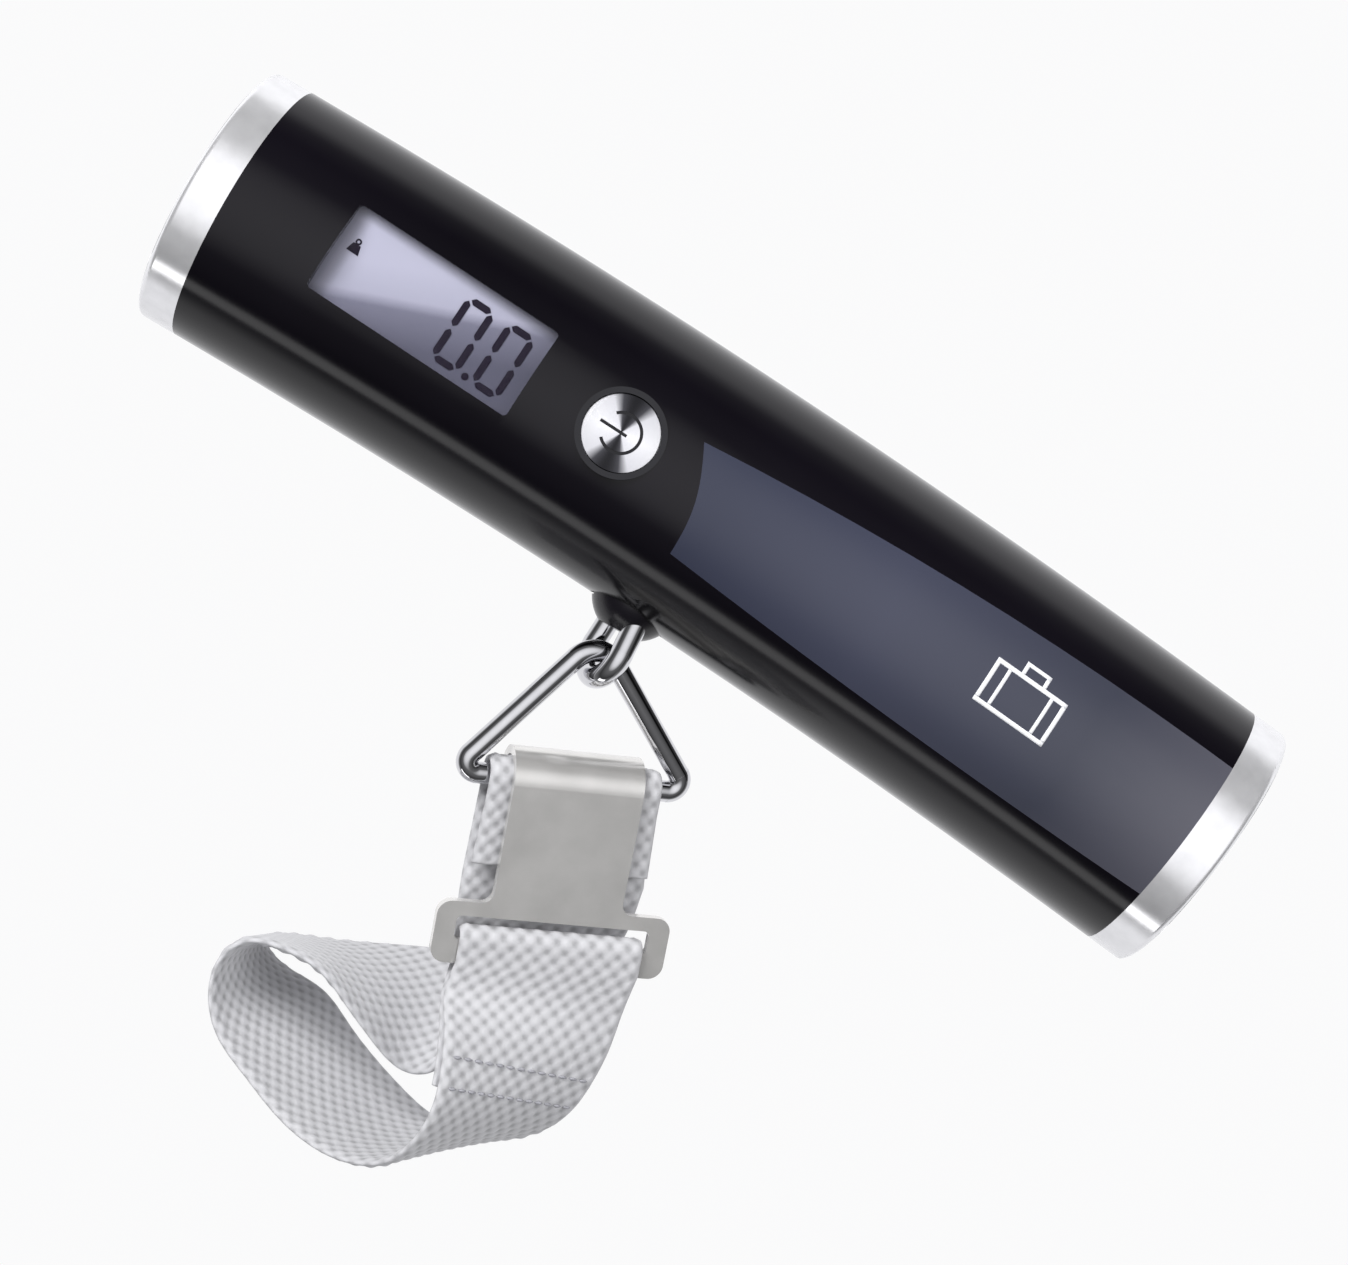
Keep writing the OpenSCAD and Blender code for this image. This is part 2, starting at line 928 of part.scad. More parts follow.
module hook_buckle() {
    color("#cdced2")
        in_strap()
            union() {
                through_y(plate_n, plate_n + plate_t)
                    buckle_outline();
                translate([-stem_w / 2, 0, 0])
                    rotate([90, 0, 90])
                        rotate_extrude(angle = 180, $fn = 180)
                            hook_profile();
                box([-stem_w / 2, stem_w / 2], [hook_r, hook_r + plate_t], [-hook_tip, 0]);
            }
}

module hook_profile() {
    translate([hook_r, 0])
        square([plate_t, stem_w]);
}

// ---- webbing

function unit(v) = v / norm(v);

// a smooth curve through the route: value and slope of segment i at t from 0 to 1
function bent(a, b, c, d, t) =
    0.5 * (2 * b + (c - a) * t + (2 * a - 5 * b + 4 * c - d) * t * t + (3 * b - a - 3 * c + d) * t * t * t);
function route_at(k, u) =
    let (n = len(loop_route), i = min(floor(u), n - 2), t = u - i)
    bent(loop_route[max(i - 1, 0)][k], loop_route[i][k], loop_route[i + 1][k],
        loop_route[min(i + 2, n - 1)][k], t);
// a station is [middle, direction across, width]
function loop_station(u) = [route_at(0, u), unit(route_at(1, u)), web_w];
function flat_station(n, q, w) = [[0, n, q], [-1, 0, 0], w];
function loop_normal(u) =
    unit(cross(unit(route_at(0, u + 0.02) - route_at(0, u - 0.02)), unit(route_at(1, u))));

// the folded end lies behind the front of the loop
tail_from = 1;
tail_to = 2.9;
tail_steps = 7;

webbing_path = concat(
    // the end that is sewn behind the front of the loop, from its tip up to the buckle
    [for (i = [0 : tail_steps])
        let (u = tail_to + (tail_from - tail_to) * i / tail_steps, s = loop_station(u))
        [s[0] + tail_offset * loop_normal(u), s[1], s[2]]],
    [flat_station(bar_n + fold_r, -26.5, web_w)],
    // over the slot's lower bar
    [for (i = [0 : fold_steps])
        let (a = 180 * i / fold_steps)
        flat_station(bar_n + fold_r * cos(a), slot_q[0] + web_gap + fold_r * sin(a), web_w)],
    // round the loop
    [for (i = [0 : (len(loop_route) - 1) * loop_steps]) loop_station(i / loop_steps)],
    // up behind the buckle, over the ring's bar and down to the sewn end
    [flat_station(1, -8, (web_w + wrap_w) / 2), flat_station(wrap_r - 0.2, -3, wrap_w)],
    [for (i = [0 : wrap_steps])
        let (a = 180 * i / wrap_steps)
        flat_station(wrap_r * cos(a), wrap_r * sin(a), wrap_w)],
    [flat_station(-wrap_r + 0.1, -3, wrap_w), flat_station(-wrap_r + 0.3, -12, (web_w + wrap_w) / 2)]
);

function path_normal(i) =
    let (n = len(webbing_path), a = webbing_path[max(i - 1, 0)][0], b = webbing_path[min(i + 1, n - 1)][0])
    unit(cross(unit(b - a), webbing_path[i][1]));
function ring_of(i) =
    let (s = webbing_path[i], w = s[1] * s[2] / 2, n = path_normal(i) * web_t / 2)
    [s[0] + w + n, s[0] - w + n, s[0] - w - n, s[0] + w - n];

module webbing_strap() {
    count = len(webbing_path);
    points = [for (i = [0 : count - 1]) each ring_of(i)];
    sides = [
        for (i = [0 : count - 2], k = [0 : 3])
            let (a = 4 * i + k, b = 4 * i + (k + 1) % 4)
            each [[a, a + 4, b], [b, a + 4, b + 4]]
    ];
    last = 4 * (count - 1);
    ends = [[0, 1, 2], [0, 2, 3], [last, last + 2, last + 1], [last, last + 3, last + 2]];
    color("#dcdce0")
        in_strap()
            polyhedron(points, concat(sides, ends));
}

// ---- battery

module battery_tray() {
    color("#2b2b30")
        at_arch(battery_s)
            difference() {
                intersection() {
                    box([-13, 13], [7.8, 14], [-11.5, 11.5]);
                    translate([-20, 0, 0])
                        rotate([0, 90, 0])
                            cylinder(r = inner_r - 0.15, h = 40);
                }
                y_cylinder(0, 0, battery_r + 0.2, battery_y - 0.4, 16);
                box([-3, 3], [battery_y - 0.4, 16], [battery_r - 1, battery_r + 0.7]);
            }
}

module coin_cell() {
    rim = 0.5;
    color("#b9bbc0")
        at_arch(battery_s)
            union() {
                y_cylinder(0, 0, battery_r, battery_y + rim, battery_y + battery_t);
                y_cylinder(0, 0, battery_r - 1.2, battery_y, battery_y + rim);
            }
}

module negative_contact() {
    color("#d8c070")
        at_arch(battery_s)
            y_cylinder(0, 0, 4, battery_y - 0.4, battery_y);
}

module positive_contact() {
    color("#d8c070")
        at_arch(battery_s)
            box([-2.5, 2.5], [battery_y, battery_y + battery_t], [battery_r + 0.2, battery_r + 0.6]);
}

module battery_leads() {
    lead_r = 0.45;
    color("#303036")
        for (z = [-4, 4])
            lead([
                [-26, 7.8, z],
                [-26, 4, z],
                [-21.5, -3, z * 1.6],
                [-21.5, board_back, z * 1.6]
            ], lead_r);
}

// tilts out about its display end and hooks under the shell there
module battery_door() {
    color("#0e0d12")
        union() {
            difference() {
                intersection() {
                    arched(battery_s - 16, battery_s + 16)
                        tube_profile(body_r, inner_r + 0.2);
                    at_arch(battery_s)
                        box([-door_half_l, door_half_l], [5, body_r + 1], [-door_half_h, door_half_h]);
                }
                at_arch(battery_s)
                    y_cylinder(door_half_l - 2.5, 0, 3.5, body_r - 0.5, body_r + 1);
            }
            at_arch(battery_s)
                intersection() {
                    difference() {
                        box([-door_half_l - 1.2, -door_half_l + 2], [14, body_r], [-4, 4]);
                        box([-door_half_l - 2, -door_half_l + 0.3], [inner_r - 0.75, body_r], [-5, 5]);
                    }
                    translate([-25, 0, 0])
                        rotate([0, 90, 0])
                            difference() {
                                cylinder(r = inner_r + 0.8, h = 50);
                                translate([0, 0, -1])
                                    cylinder(r = inner_r - 1.5, h = 52);
                            }
                }
        }
}

front_shell();
rear_shell();
display_end_cap();
grip_end_cap();
grip_panel();
display_window();
lcd_glass();
lcd_segments();
backlight_plate();
lcd_contact_strip();
display_frame();
circuit_board();
controller_chip();
board_components();
board_screws();
button_bezel();
button_cap();
power_mark();
switch_plunger();
switch_body();
load_cell();
strain_gauges();
load_plate();
load_screws();
gauge_leads();
swivel_bush();
thrust_washer();
swivel_stem();
stem_nut();
ball_head();
swivel_pin();
link();
triangle_ring();
hook_buckle();
webbing_strap();
battery_tray();
coin_cell();
negative_contact();
positive_contact();
battery_leads();
battery_door();
case_screws();
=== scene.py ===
import math
import bpy
import bmesh
import numpy as np
from mathutils import Matrix, Vector


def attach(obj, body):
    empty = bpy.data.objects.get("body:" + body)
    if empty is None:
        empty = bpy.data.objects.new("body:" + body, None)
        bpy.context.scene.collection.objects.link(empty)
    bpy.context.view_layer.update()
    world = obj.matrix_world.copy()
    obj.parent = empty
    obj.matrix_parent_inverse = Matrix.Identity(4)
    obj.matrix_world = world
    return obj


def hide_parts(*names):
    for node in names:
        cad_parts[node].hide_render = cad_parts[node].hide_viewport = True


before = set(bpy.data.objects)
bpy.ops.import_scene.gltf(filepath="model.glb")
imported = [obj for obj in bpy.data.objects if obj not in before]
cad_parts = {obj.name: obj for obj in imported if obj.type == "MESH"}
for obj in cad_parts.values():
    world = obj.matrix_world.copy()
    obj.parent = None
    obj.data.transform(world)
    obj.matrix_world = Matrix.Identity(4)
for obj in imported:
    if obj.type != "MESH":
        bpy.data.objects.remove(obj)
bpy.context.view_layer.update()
MM = 0.001

# ---- the handle's size and the strap's attitude, in millimetres as the CAD has them
TUBE_R = 18.5
ARCH_R = 1400.0
BUTTON_X = -15.1
LCD_X = -44.0
SWIVEL = np.array([-2.15, 0.0, -15.6])
LINK_DROP, LINK_LEAN = 12.25, 4.0
RING_DROP = 15.0
# the picture's roll, which the strap hangs against, then how far the strap is tilted, about which
# bearing in the handle's plane, and how far it is twisted about its own middle line
ROLL, STRAP_TILT, TILT_BEARING, STRAP_TWIST = 33.4, 23, 38, 8.5
PER_METRE = 1000


def turn(degrees, axis):
    return np.array(Matrix.Rotation(math.radians(degrees), 3, Vector(axis)))


bearing = math.radians(TILT_BEARING)
tilt_axis = (math.cos(bearing), 0, math.sin(bearing))
HANG = turn(-ROLL, (0, 1, 0)) @ turn(STRAP_TILT, tilt_axis) @ turn(STRAP_TWIST, (0, 1, 0))
lean = math.radians(LINK_LEAN)
PIVOT = SWIVEL + LINK_DROP * np.array([math.sin(lean), 0, -math.cos(lean)])
BAR = PIVOT - RING_DROP * HANG[:, 2]


# ---- materials

def material(name, base, rough=0.4, metal=0.0, spec=0.5):
    m = bpy.data.materials.new(name)
    m.use_nodes = True
    b = m.node_tree.nodes["Principled BSDF"]
    b.inputs["Base Color"].default_value = (*base, 1)
    b.inputs["Roughness"].default_value = rough
    b.inputs["Metallic"].default_value = metal
    b.inputs["Specular IOR Level"].default_value = spec
    return m


def node(m, kind, **values):
    n = m.node_tree.nodes.new(kind)
    for key, value in values.items():
        if hasattr(n, key):
            setattr(n, key, value)
        else:
            n.inputs[key.replace("_", " ")].default_value = value
    return n


def link(m, a, b):
    m.node_tree.links.new(a, b)


def place(m, stretch=(1, 1, 1)):
    """Object coordinates in millimetres, stretched along an axis for a grain."""
    at = node(m, "ShaderNodeTexCoord")
    scale = node(m, "ShaderNodeMapping")
    scale.inputs["Scale"].default_value = [PER_METRE * s for s in stretch]
    link(m, at.outputs["Object"], scale.inputs["Vector"])
    return scale.outputs["Vector"]


def ramp(m, fac, stops):
    """A colour for each value of fac, blended between (position, colour) stops."""
    r = node(m, "ShaderNodeValToRGB")
    while len(r.color_ramp.elements) < len(stops):
        r.color_ramp.elements.new(0.5)
    for e, (pos, col) in zip(r.color_ramp.elements, stops):
        e.position = pos
        e.color = (*col, 1)
    link(m, fac, r.inputs["Fac"])
    return r.outputs["Color"]


def fade(m, value, start, end, low):
    """Rises from low to 1 while the value goes from start to end."""
    n = node(m, "ShaderNodeMapRange")
    n.inputs["From Min"].default_value = start
    n.inputs["From Max"].default_value = end
    n.inputs["To Min"].default_value = low
    link(m, value, n.inputs["Value"])
    return n.outputs["Result"]


def axis_value(m, axis):
    """One object coordinate, in millimetres."""
    parts = node(m, "ShaderNodeSeparateXYZ")
    link(m, place(m), parts.inputs[0])
    return parts.outputs[axis]


def maths(m, operation, a, b=None):
    """A maths node on sockets or plain numbers."""
    n = node(m, "ShaderNodeMath", operation=operation)
    for k, v in enumerate((a, b)):
        if v is None:
            continue
        if isinstance(v, (int, float)):
            n.inputs[k].default_value = v
        else:
            link(m, v, n.inputs[k])
    return n.outputs[0]


GRAIN_SCALE, GRAIN_DEPTH = 3.0, 0.0001


def worn(m, base, scale=0.15, spread=0.12, rough=(0.2, 0.35), bump=0.0, stretch=(1, 1, 1), seed=0.0):
    """Breaks up a plain finish: the tone and the roughness wander, and the surface has a slight grain."""
    b = m.node_tree.nodes["Principled BSDF"]
    at = place(m, stretch)
    noise = node(m, "ShaderNodeTexNoise", Scale=scale, Detail=5.0)
    shift = node(m, "ShaderNodeVectorMath", operation="ADD")
    shift.inputs[1].default_value = (seed, seed, seed)
    link(m, at, shift.inputs[0])
    link(m, shift.outputs[0], noise.inputs["Vector"])
    dark = [c * (1 - spread) for c in base]
    light = [min(1, c * (1 + spread)) for c in base]
    link(m, ramp(m, noise.outputs["Fac"], [(0.3, dark), (0.7, light)]), b.inputs["Base Color"])
    r = node(m, "ShaderNodeMapRange")
    r.inputs["To Min"].default_value = rough[0]
    r.inputs["To Max"].default_value = rough[1]
    link(m, noise.outputs["Fac"], r.inputs["Value"])
    link(m, r.outputs["Result"], b.inputs["Roughness"])
    if bump:
        bn = node(m, "ShaderNodeBump", Strength=bump, Distance=GRAIN_DEPTH)
        grain = node(m, "ShaderNodeTexNoise", Scale=GRAIN_SCALE, Detail=3.0)
        link(m, at, grain.inputs["Vector"])
        link(m, grain.outputs["Fac"], bn.inputs["Height"])
        link(m, bn.outputs["Normal"], b.inputs["Normal"])
    return m


def finish_of(name, base, rough, metal=0.0, spec=0.5, **more):
    """A finish whose roughness wanders within rough; the rest goes to worn."""
    m = material(name, base, rough[0], metal, spec)
    return worn(m, base, rough=rough, **more)


BLACK = (0.0035, 0.0028, 0.005)
gloss_black = finish_of("gloss_black", BLACK, (0.13, 0.17), spec=0.3, scale=0.03, spread=0.2)
door_black = finish_of("door_black", BLACK, (0.15, 0.2), spec=0.3, scale=0.03, spread=0.2, seed=9.0)
bezel_black = finish_of("bezel_black", (0.006, 0.006, 0.009), (0.12, 0.18), spec=0.4, scale=0.3)
ball_black = finish_of("ball_black", (0.007, 0.006, 0.009), (0.22, 0.3), spec=0.4, scale=0.2, bump=0.1)
chrome = finish_of("cap_chrome", (0.86, 0.86, 0.88), (0.14, 0.2), metal=0.66, scale=0.5, spread=0.05)
polished = finish_of("polished_chrome", (0.66, 0.66, 0.68), (0.05, 0.09), metal=1.0, scale=0.6, spread=0.05)
nickel = finish_of("buckle_nickel", (0.8, 0.79, 0.77), (0.2, 0.26), metal=0.7, scale=0.2, spread=0.06,
                   bump=0.06)
steel = finish_of("steel", (0.5, 0.51, 0.53), (0.25, 0.4), metal=1.0, scale=0.5, stretch=(1, 6, 6), bump=0.2)
aluminium = finish_of("milled_aluminium", (0.62, 0.63, 0.65), (0.3, 0.42), metal=1.0, scale=0.4,
                      stretch=(0.3, 5, 5), bump=0.3)
brass = finish_of("brass", (0.65, 0.47, 0.18), (0.22, 0.35), metal=1.0, scale=0.4, bump=0.1)
board_green = finish_of("board_green", (0.015, 0.12, 0.05), (0.25, 0.35), scale=0.4, spread=0.2)
dark_plastic = finish_of("dark_plastic", (0.02, 0.02, 0.023), (0.4, 0.55), scale=0.4, bump=0.3)
white_plastic = finish_of("white_plastic", (0.75, 0.75, 0.74), (0.35, 0.5), scale=0.3, spread=0.04, bump=0.1)
amber = finish_of("amber_film", (0.55, 0.24, 0.05), (0.25, 0.35), scale=0.5)
red_lead = finish_of("red_lead", (0.4, 0.02, 0.02), (0.35, 0.45), scale=0.4)
black_lead = finish_of("black_lead", (0.02, 0.02, 0.022), (0.35, 0.45), scale=0.4)
ink = finish_of("lcd_ink", (0.006, 0.002, 0.014), (0.5, 0.6), scale=0.4)
mark_ink = finish_of("mark_ink", (0.008, 0.008, 0.01), (0.5, 0.6), scale=0.4)
print_white = finish_of("print_white", (0.82, 0.83, 0.86), (0.4, 0.5), scale=0.6, spread=0.03)


REFLECTION_LIGHTEST_AT = 75.0  # how far along the handle the panel's painted reflection is lightest


def painted_reflection_panel():
    """A painted reflection in satin slate: lighter and greyer towards the grip end."""
    m = material("panel_slate", (0.05, 0.055, 0.085), 0.35, 0.0, 0.4)
    b = m.node_tree.nodes["Principled BSDF"]
    along = maths(m, "DIVIDE", axis_value(m, 0), REFLECTION_LIGHTEST_AT)
    grain = node(m, "ShaderNodeTexNoise", Scale=0.12, Detail=4.0)
    link(m, place(m, (0.3, 1, 1)), grain.inputs["Vector"])
    wander = maths(m, "MULTIPLY", maths(m, "SUBTRACT", grain.outputs["Fac"], 0.5), 0.12)
    fac = maths(m, "ADD", along, wander)
    colour = ramp(m, fac, [(0.0, (0.03, 0.034, 0.058)), (0.35, (0.043, 0.047, 0.075)),
                           (0.75, (0.04, 0.043, 0.062)), (1.0, (0.075, 0.075, 0.095))])
    link(m, colour, b.inputs["Base Color"])
    return m


# painted shadow along the display's left and top edges: where, out from its middle, and over what width
SHADE_LEFT, SHADE_LEFT_W = 15.1, 2.3
SHADE_TOP, SHADE_TOP_W = 6.6, 1.6
# how fast the painted reflection's diagonal step goes dark along the handle and upwards
REFLECTION_STEP_ALONG, REFLECTION_STEP_UP = 0.035, -0.085


def lcd_grey():
    """The display's reflector with painted light: a painted reflection at the upper left, darker lower right,
    painted shadow on its left and top edges, and a weak glow in these colours.
    """
    m = material("lcd_grey", (0.4, 0.4, 0.5), 0.3, 0.0, 0.3)
    b = m.node_tree.nodes["Principled BSDF"]
    x, z = axis_value(m, 0), axis_value(m, 2)
    # a painted reflection: a soft diagonal step from the lower left to the upper right
    across = maths(m, "ADD", maths(m, "MULTIPLY", maths(m, "SUBTRACT", x, LCD_X), REFLECTION_STEP_ALONG),
                   maths(m, "MULTIPLY", z, REFLECTION_STEP_UP))
    fac = maths(m, "ADD", across, 0.5)
    colour = ramp(m, fac, [(0.05, (0.42, 0.42, 0.53)), (0.42, (0.36, 0.36, 0.46)),
                           (0.56, (0.155, 0.155, 0.215)), (1.0, (0.085, 0.085, 0.125))])
    # painted shadow, darkest at the left and top edges
    edge = fade(m, x, LCD_X - SHADE_LEFT, LCD_X - SHADE_LEFT + SHADE_LEFT_W, 0.5)
    top = fade(m, z, SHADE_TOP, SHADE_TOP - SHADE_TOP_W, 0.55)
    shade = node(m, "ShaderNodeVectorMath", operation="SCALE")
    link(m, colour, shade.inputs[0])
    link(m, maths(m, "MULTIPLY", edge, top), shade.inputs["Scale"])
    link(m, shade.outputs[0], b.inputs["Base Color"])
    # the painted colours also glow weakly
    link(m, shade.outputs[0], b.inputs["Emission Color"])
    b.inputs["Emission Strength"].default_value = 0.2
    return m


def clear_window():
    """The display's cover: nearly all that shows of it is its reflection."""
    m = material("window_clear", (0.01, 0.01, 0.014), 0.04, 0.0, 0.4)
    b = m.node_tree.nodes["Principled BSDF"]
    b.inputs["Alpha"].default_value = 0.07
    return m


REFLECTION_WEDGE_LEAN = 0.12  # radians; the lean of the painted reflection's dark wedges
GROOVE_RATE, GROOVE_DEPTH = 60.0, 0.00002  # radians of groove for each millimetre, and metres deep


def spun_button():
    """Spun metal: fine rings, with a painted reflection: the two dark wedges that turned metal shows across
    the handle.
    """
    m = material("button_spun", (0.7, 0.7, 0.72), 0.25, 0.6)
    b = m.node_tree.nodes["Principled BSDF"]
    x = maths(m, "SUBTRACT", axis_value(m, 0), BUTTON_X)
    z = axis_value(m, 2)
    radius = maths(m, "SQRT", maths(m, "ADD", maths(m, "MULTIPLY", x, x), maths(m, "MULTIPLY", z, z)))
    angle = maths(m, "ARCTAN2", z, x)
    # painted reflection: two dark wedges across the handle
    wedge_reflection = maths(m, "ABSOLUTE", maths(m, "SINE", maths(m, "SUBTRACT", angle, REFLECTION_WEDGE_LEAN)))
    tone = ramp(m, wedge_reflection, [(0.0, (0.85, 0.85, 0.88)), (0.8, (0.7, 0.7, 0.74)),
                           (0.93, (0.06, 0.06, 0.07)), (1.0, (0.012, 0.012, 0.015))])
    link(m, tone, b.inputs["Base Color"])
    rings = maths(m, "SINE", maths(m, "MULTIPLY", radius, GROOVE_RATE))
    bump = node(m, "ShaderNodeBump", Strength=0.15, Distance=GROOVE_DEPTH)
    link(m, rings, bump.inputs["Height"])
    link(m, bump.outputs["Normal"], b.inputs["Normal"])
    return m


PITCH = 1.25  # from one yarn to the next
UV_UNIT = 100.0
FIBRE_DEPTH = 0.00012


def webbing_cloth(name, base):
    """Woven polyester: the weave is real, and the shader adds fibres and painted shade in the gaps between
    the yarns.
    """
    m = material(name, base, 0.75, 0.0, 0.2)
    b = m.node_tree.nodes["Principled BSDF"]
    uv = node(m, "ShaderNodeUVMap", uv_map="weave")
    parts = node(m, "ShaderNodeSeparateXYZ")
    link(m, uv.outputs["UV"], parts.inputs[0])
    u, v = parts.outputs[0], parts.outputs[1]

    def wave(t):
        return maths(m, "SINE", maths(m, "MULTIPLY", t, math.pi * UV_UNIT / PITCH))

    # painted shade: the colour darkens where the weave sinks between the yarns
    over = maths(m, "MULTIPLY", wave(u), wave(v))
    fac = maths(m, "ADD", maths(m, "MULTIPLY", over, 0.4), 0.5)
    fibre = node(m, "ShaderNodeTexNoise", Scale=2.2, Detail=4.0)
    link(m, place(m), fibre.inputs["Vector"])
    fac = maths(m, "ADD", fac, maths(m, "MULTIPLY", maths(m, "SUBTRACT", fibre.outputs["Fac"], 0.5), 0.35))
    dark = [c * 0.6 for c in base]
    mid = [c * 0.88 for c in base]
    link(m, ramp(m, fac, [(0.1, dark), (0.45, mid), (0.8, base)]), b.inputs["Base Color"])
    bump = node(m, "ShaderNodeBump", Strength=0.5, Distance=FIBRE_DEPTH)
    link(m, fibre.outputs["Fac"], bump.inputs["Height"])
    link(m, bump.outputs["Normal"], b.inputs["Normal"])
    b.inputs["Sheen Weight"].default_value = 0.25
    b.inputs["Sheen Roughness"].default_value = 0.5
    return m


webbing_grey = webbing_cloth("webbing_grey", (0.56, 0.56, 0.58))
thread_grey = finish_of("thread_grey", (0.34, 0.34, 0.37), (0.6, 0.75), scale=1.5, spread=0.15, bump=0.4)

LOOKS = {
    gloss_black: ["front_shell", "rear_shell"],
    door_black: ["battery_door"],
    chrome: ["display_end_cap", "grip_end_cap"],
    painted_reflection_panel(): ["grip_panel"],
    clear_window(): ["display_window"],
    lcd_grey(): ["lcd_glass"],
    ink: ["lcd_segments"],
    white_plastic: ["backlight_plate", "display_frame"],
    amber: ["strain_gauges", "lcd_contact_strip"],
    board_green: ["circuit_board"],
    dark_plastic: ["controller_chip", "board_components", "switch_plunger", "switch_body", "swivel_bush",
                   "battery_tray"],
    steel: ["board_screws", "load_screws", "case_screws", "load_plate", "swivel_stem", "stem_nut",
            "swivel_pin", "coin_cell"],
    aluminium: ["load_cell"],
    brass: ["thrust_washer", "negative_contact", "positive_contact"],
    red_lead: ["gauge_leads"],
    black_lead: ["battery_leads"],
    bezel_black: ["button_bezel"],
    spun_button(): ["button_cap"],
    mark_ink: ["power_mark"],
    ball_black: ["ball_head"],
    polished: ["link", "triangle_ring"],
    nickel: ["hook_buckle"],
}
for look, names in LOOKS.items():
    for name in names:
        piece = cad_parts[name]
        if not piece.material_slots:
            piece.data.materials.append(look)
        for s in piece.material_slots:
            s.material = look

# ---- the webbing, from the strap frame: X along the bar, Y away from the display side, Z up

BAR_N, FOLD_R, SLOT_Q, WRAP_R, WEB_GAP = -3.6, 1.35, -22.2, 2.25, 0.15
WEB_W, WRAP_W = 25.0, 23.4
ROUTE = np.array([
    [[0, -4.95, -25], [-1, 0, 0]],
    [[-1, -5.2, -30], [-1, -0.05, 0.05]],
    [[-2, -8, -36], [-0.95, -0.25, 0.2]],
    [[-4, -10, -43], [-0.85, -0.45, 0.25]],
    [[-7, -8.5, -48.5], [-0.75, -0.6, 0.2]],
    [[-11.5, -4.5, -52.5], [-0.7, -0.7, 0.1]],
    [[-17, 1, -53.5], [-0.7, -0.7, 0.05]],
    [[-22.5, 6, -51], [-0.7, -0.7, 0]],
    [[-27.5, 11, -47], [-0.7, -0.7, 0]],
    [[-32, 15.5, -42.5], [-0.7, -0.7, 0]],
    [[-35.5, 19, -38.5], [-0.55, -0.8, 0.2]],
    [[-36, 20.5, -34.5], [-0.35, -0.9, 0.3]],
    [[-32.5, 19.5, -33.2], [-0.3, -0.9, 0.3]],
    [[-25, 17, -34], [-0.3, -0.95, 0.2]],
    [[-17.5, 14.5, -36.5], [-0.4, -0.9, -0.1]],
    [[-10, 12, -39], [-0.45, -0.8, -0.4]],
    [[-4, 9, -37.5], [-0.55, -0.75, -0.35]],
    [[-1, 5.5, -31.5], [-0.8, -0.55, -0.1]],
    [[0, 2.2, -24], [-0.97, -0.2, 0]],
    [[0, 0, -14], [-1, 0, 0]],
])


def route_at(u):
    """Middle and direction across, on the smooth curve through the route."""
    n = len(ROUTE)
    i = min(int(u), n - 2)
    t = u - i
    a, b, c, d = ROUTE[max(i - 1, 0)], ROUTE[i], ROUTE[i + 1], ROUTE[min(i + 2, n - 1)]
    v = 0.5 * (2 * b + (c - a) * t + (2 * a - 5 * b + 4 * c - d) * t * t + (3 * b - a - 3 * c + d) * t ** 3)
    return v[0], v[1] / np.linalg.norm(v[1])


def station(u):
    """A row of the path: the middle, the direction across and the width."""
    c, w = route_at(u)
    return (*c, *w, WEB_W)


def flat(n, q, width):
    """A row of the path where the strand lies square to the bar."""
    return (0, n, q, -1, 0, 0, width)


# where on the route the sewn end stops, how far behind the loop it lies, and a short way along the route
SEWN_END, SEWN_GAP, NEAR = 2.9, 1.3, 0.02


def behind(u):
    """The sewn end, which lies behind the front of the loop."""
    c, w = route_at(u)
    along = route_at(u + NEAR)[0] - route_at(u - NEAR)[0]
    normal = np.cross(along, w)
    return (*(c + SEWN_GAP * normal / np.linalg.norm(normal)), *w, WEB_W)


# the sewn end, the fold through the buckle's slot, the loop, the wrap over the bar and the tail
path = [behind(u) for u in np.linspace(SEWN_END, 1, 24)]
path += [flat(BAR_N + FOLD_R, -26.5, WEB_W)]
path += [flat(BAR_N + FOLD_R * math.cos(a), SLOT_Q + WEB_GAP + FOLD_R * math.sin(a), WEB_W)
         for a in np.linspace(0, math.pi, 16)]
front_from = len(path)
path += [station(u) for u in np.linspace(0, len(ROUTE) - 1, 12 * (len(ROUTE) - 1) + 1)]
path += [flat(1, -8, (WEB_W + WRAP_W) / 2), flat(WRAP_R - 0.2, -3, WRAP_W)]
path += [flat(WRAP_R * math.cos(a), WRAP_R * math.sin(a), WRAP_W) for a in np.linspace(0, math.pi, 24)]
path += [flat(-WRAP_R + 0.1, -3, WRAP_W), flat(-WRAP_R + 0.3, -12, (WEB_W + WRAP_W) / 2)]
path = np.array(path)


def resample(rows, step):
    """Rows evenly spaced along the strand, with how far along each one is, and each given row."""
    run = np.r_[0, np.cumsum(np.linalg.norm(np.diff(rows[:, :3], axis=0), axis=1))]
    at = np.arange(0, run[-1], step)
    return at, np.stack([np.interp(at, run, rows[:, k]) for k in range(rows.shape[1])], 1), run


STEP = 0.3
run, rows, path_run = resample(path, STEP)
front_run = path_run[front_from]


def smooth(values, reach):
    """A running mean that leaves the ends alone."""
    k = max(1, int(reach / STEP))
    pad = np.pad(values, ((k, k), (0, 0)), mode="edge")
    kernel = np.ones(2 * k + 1) / (2 * k + 1)
    return np.stack([np.convolve(pad[:, j], kernel, "valid") for j in range(values.shape[1])], 1)


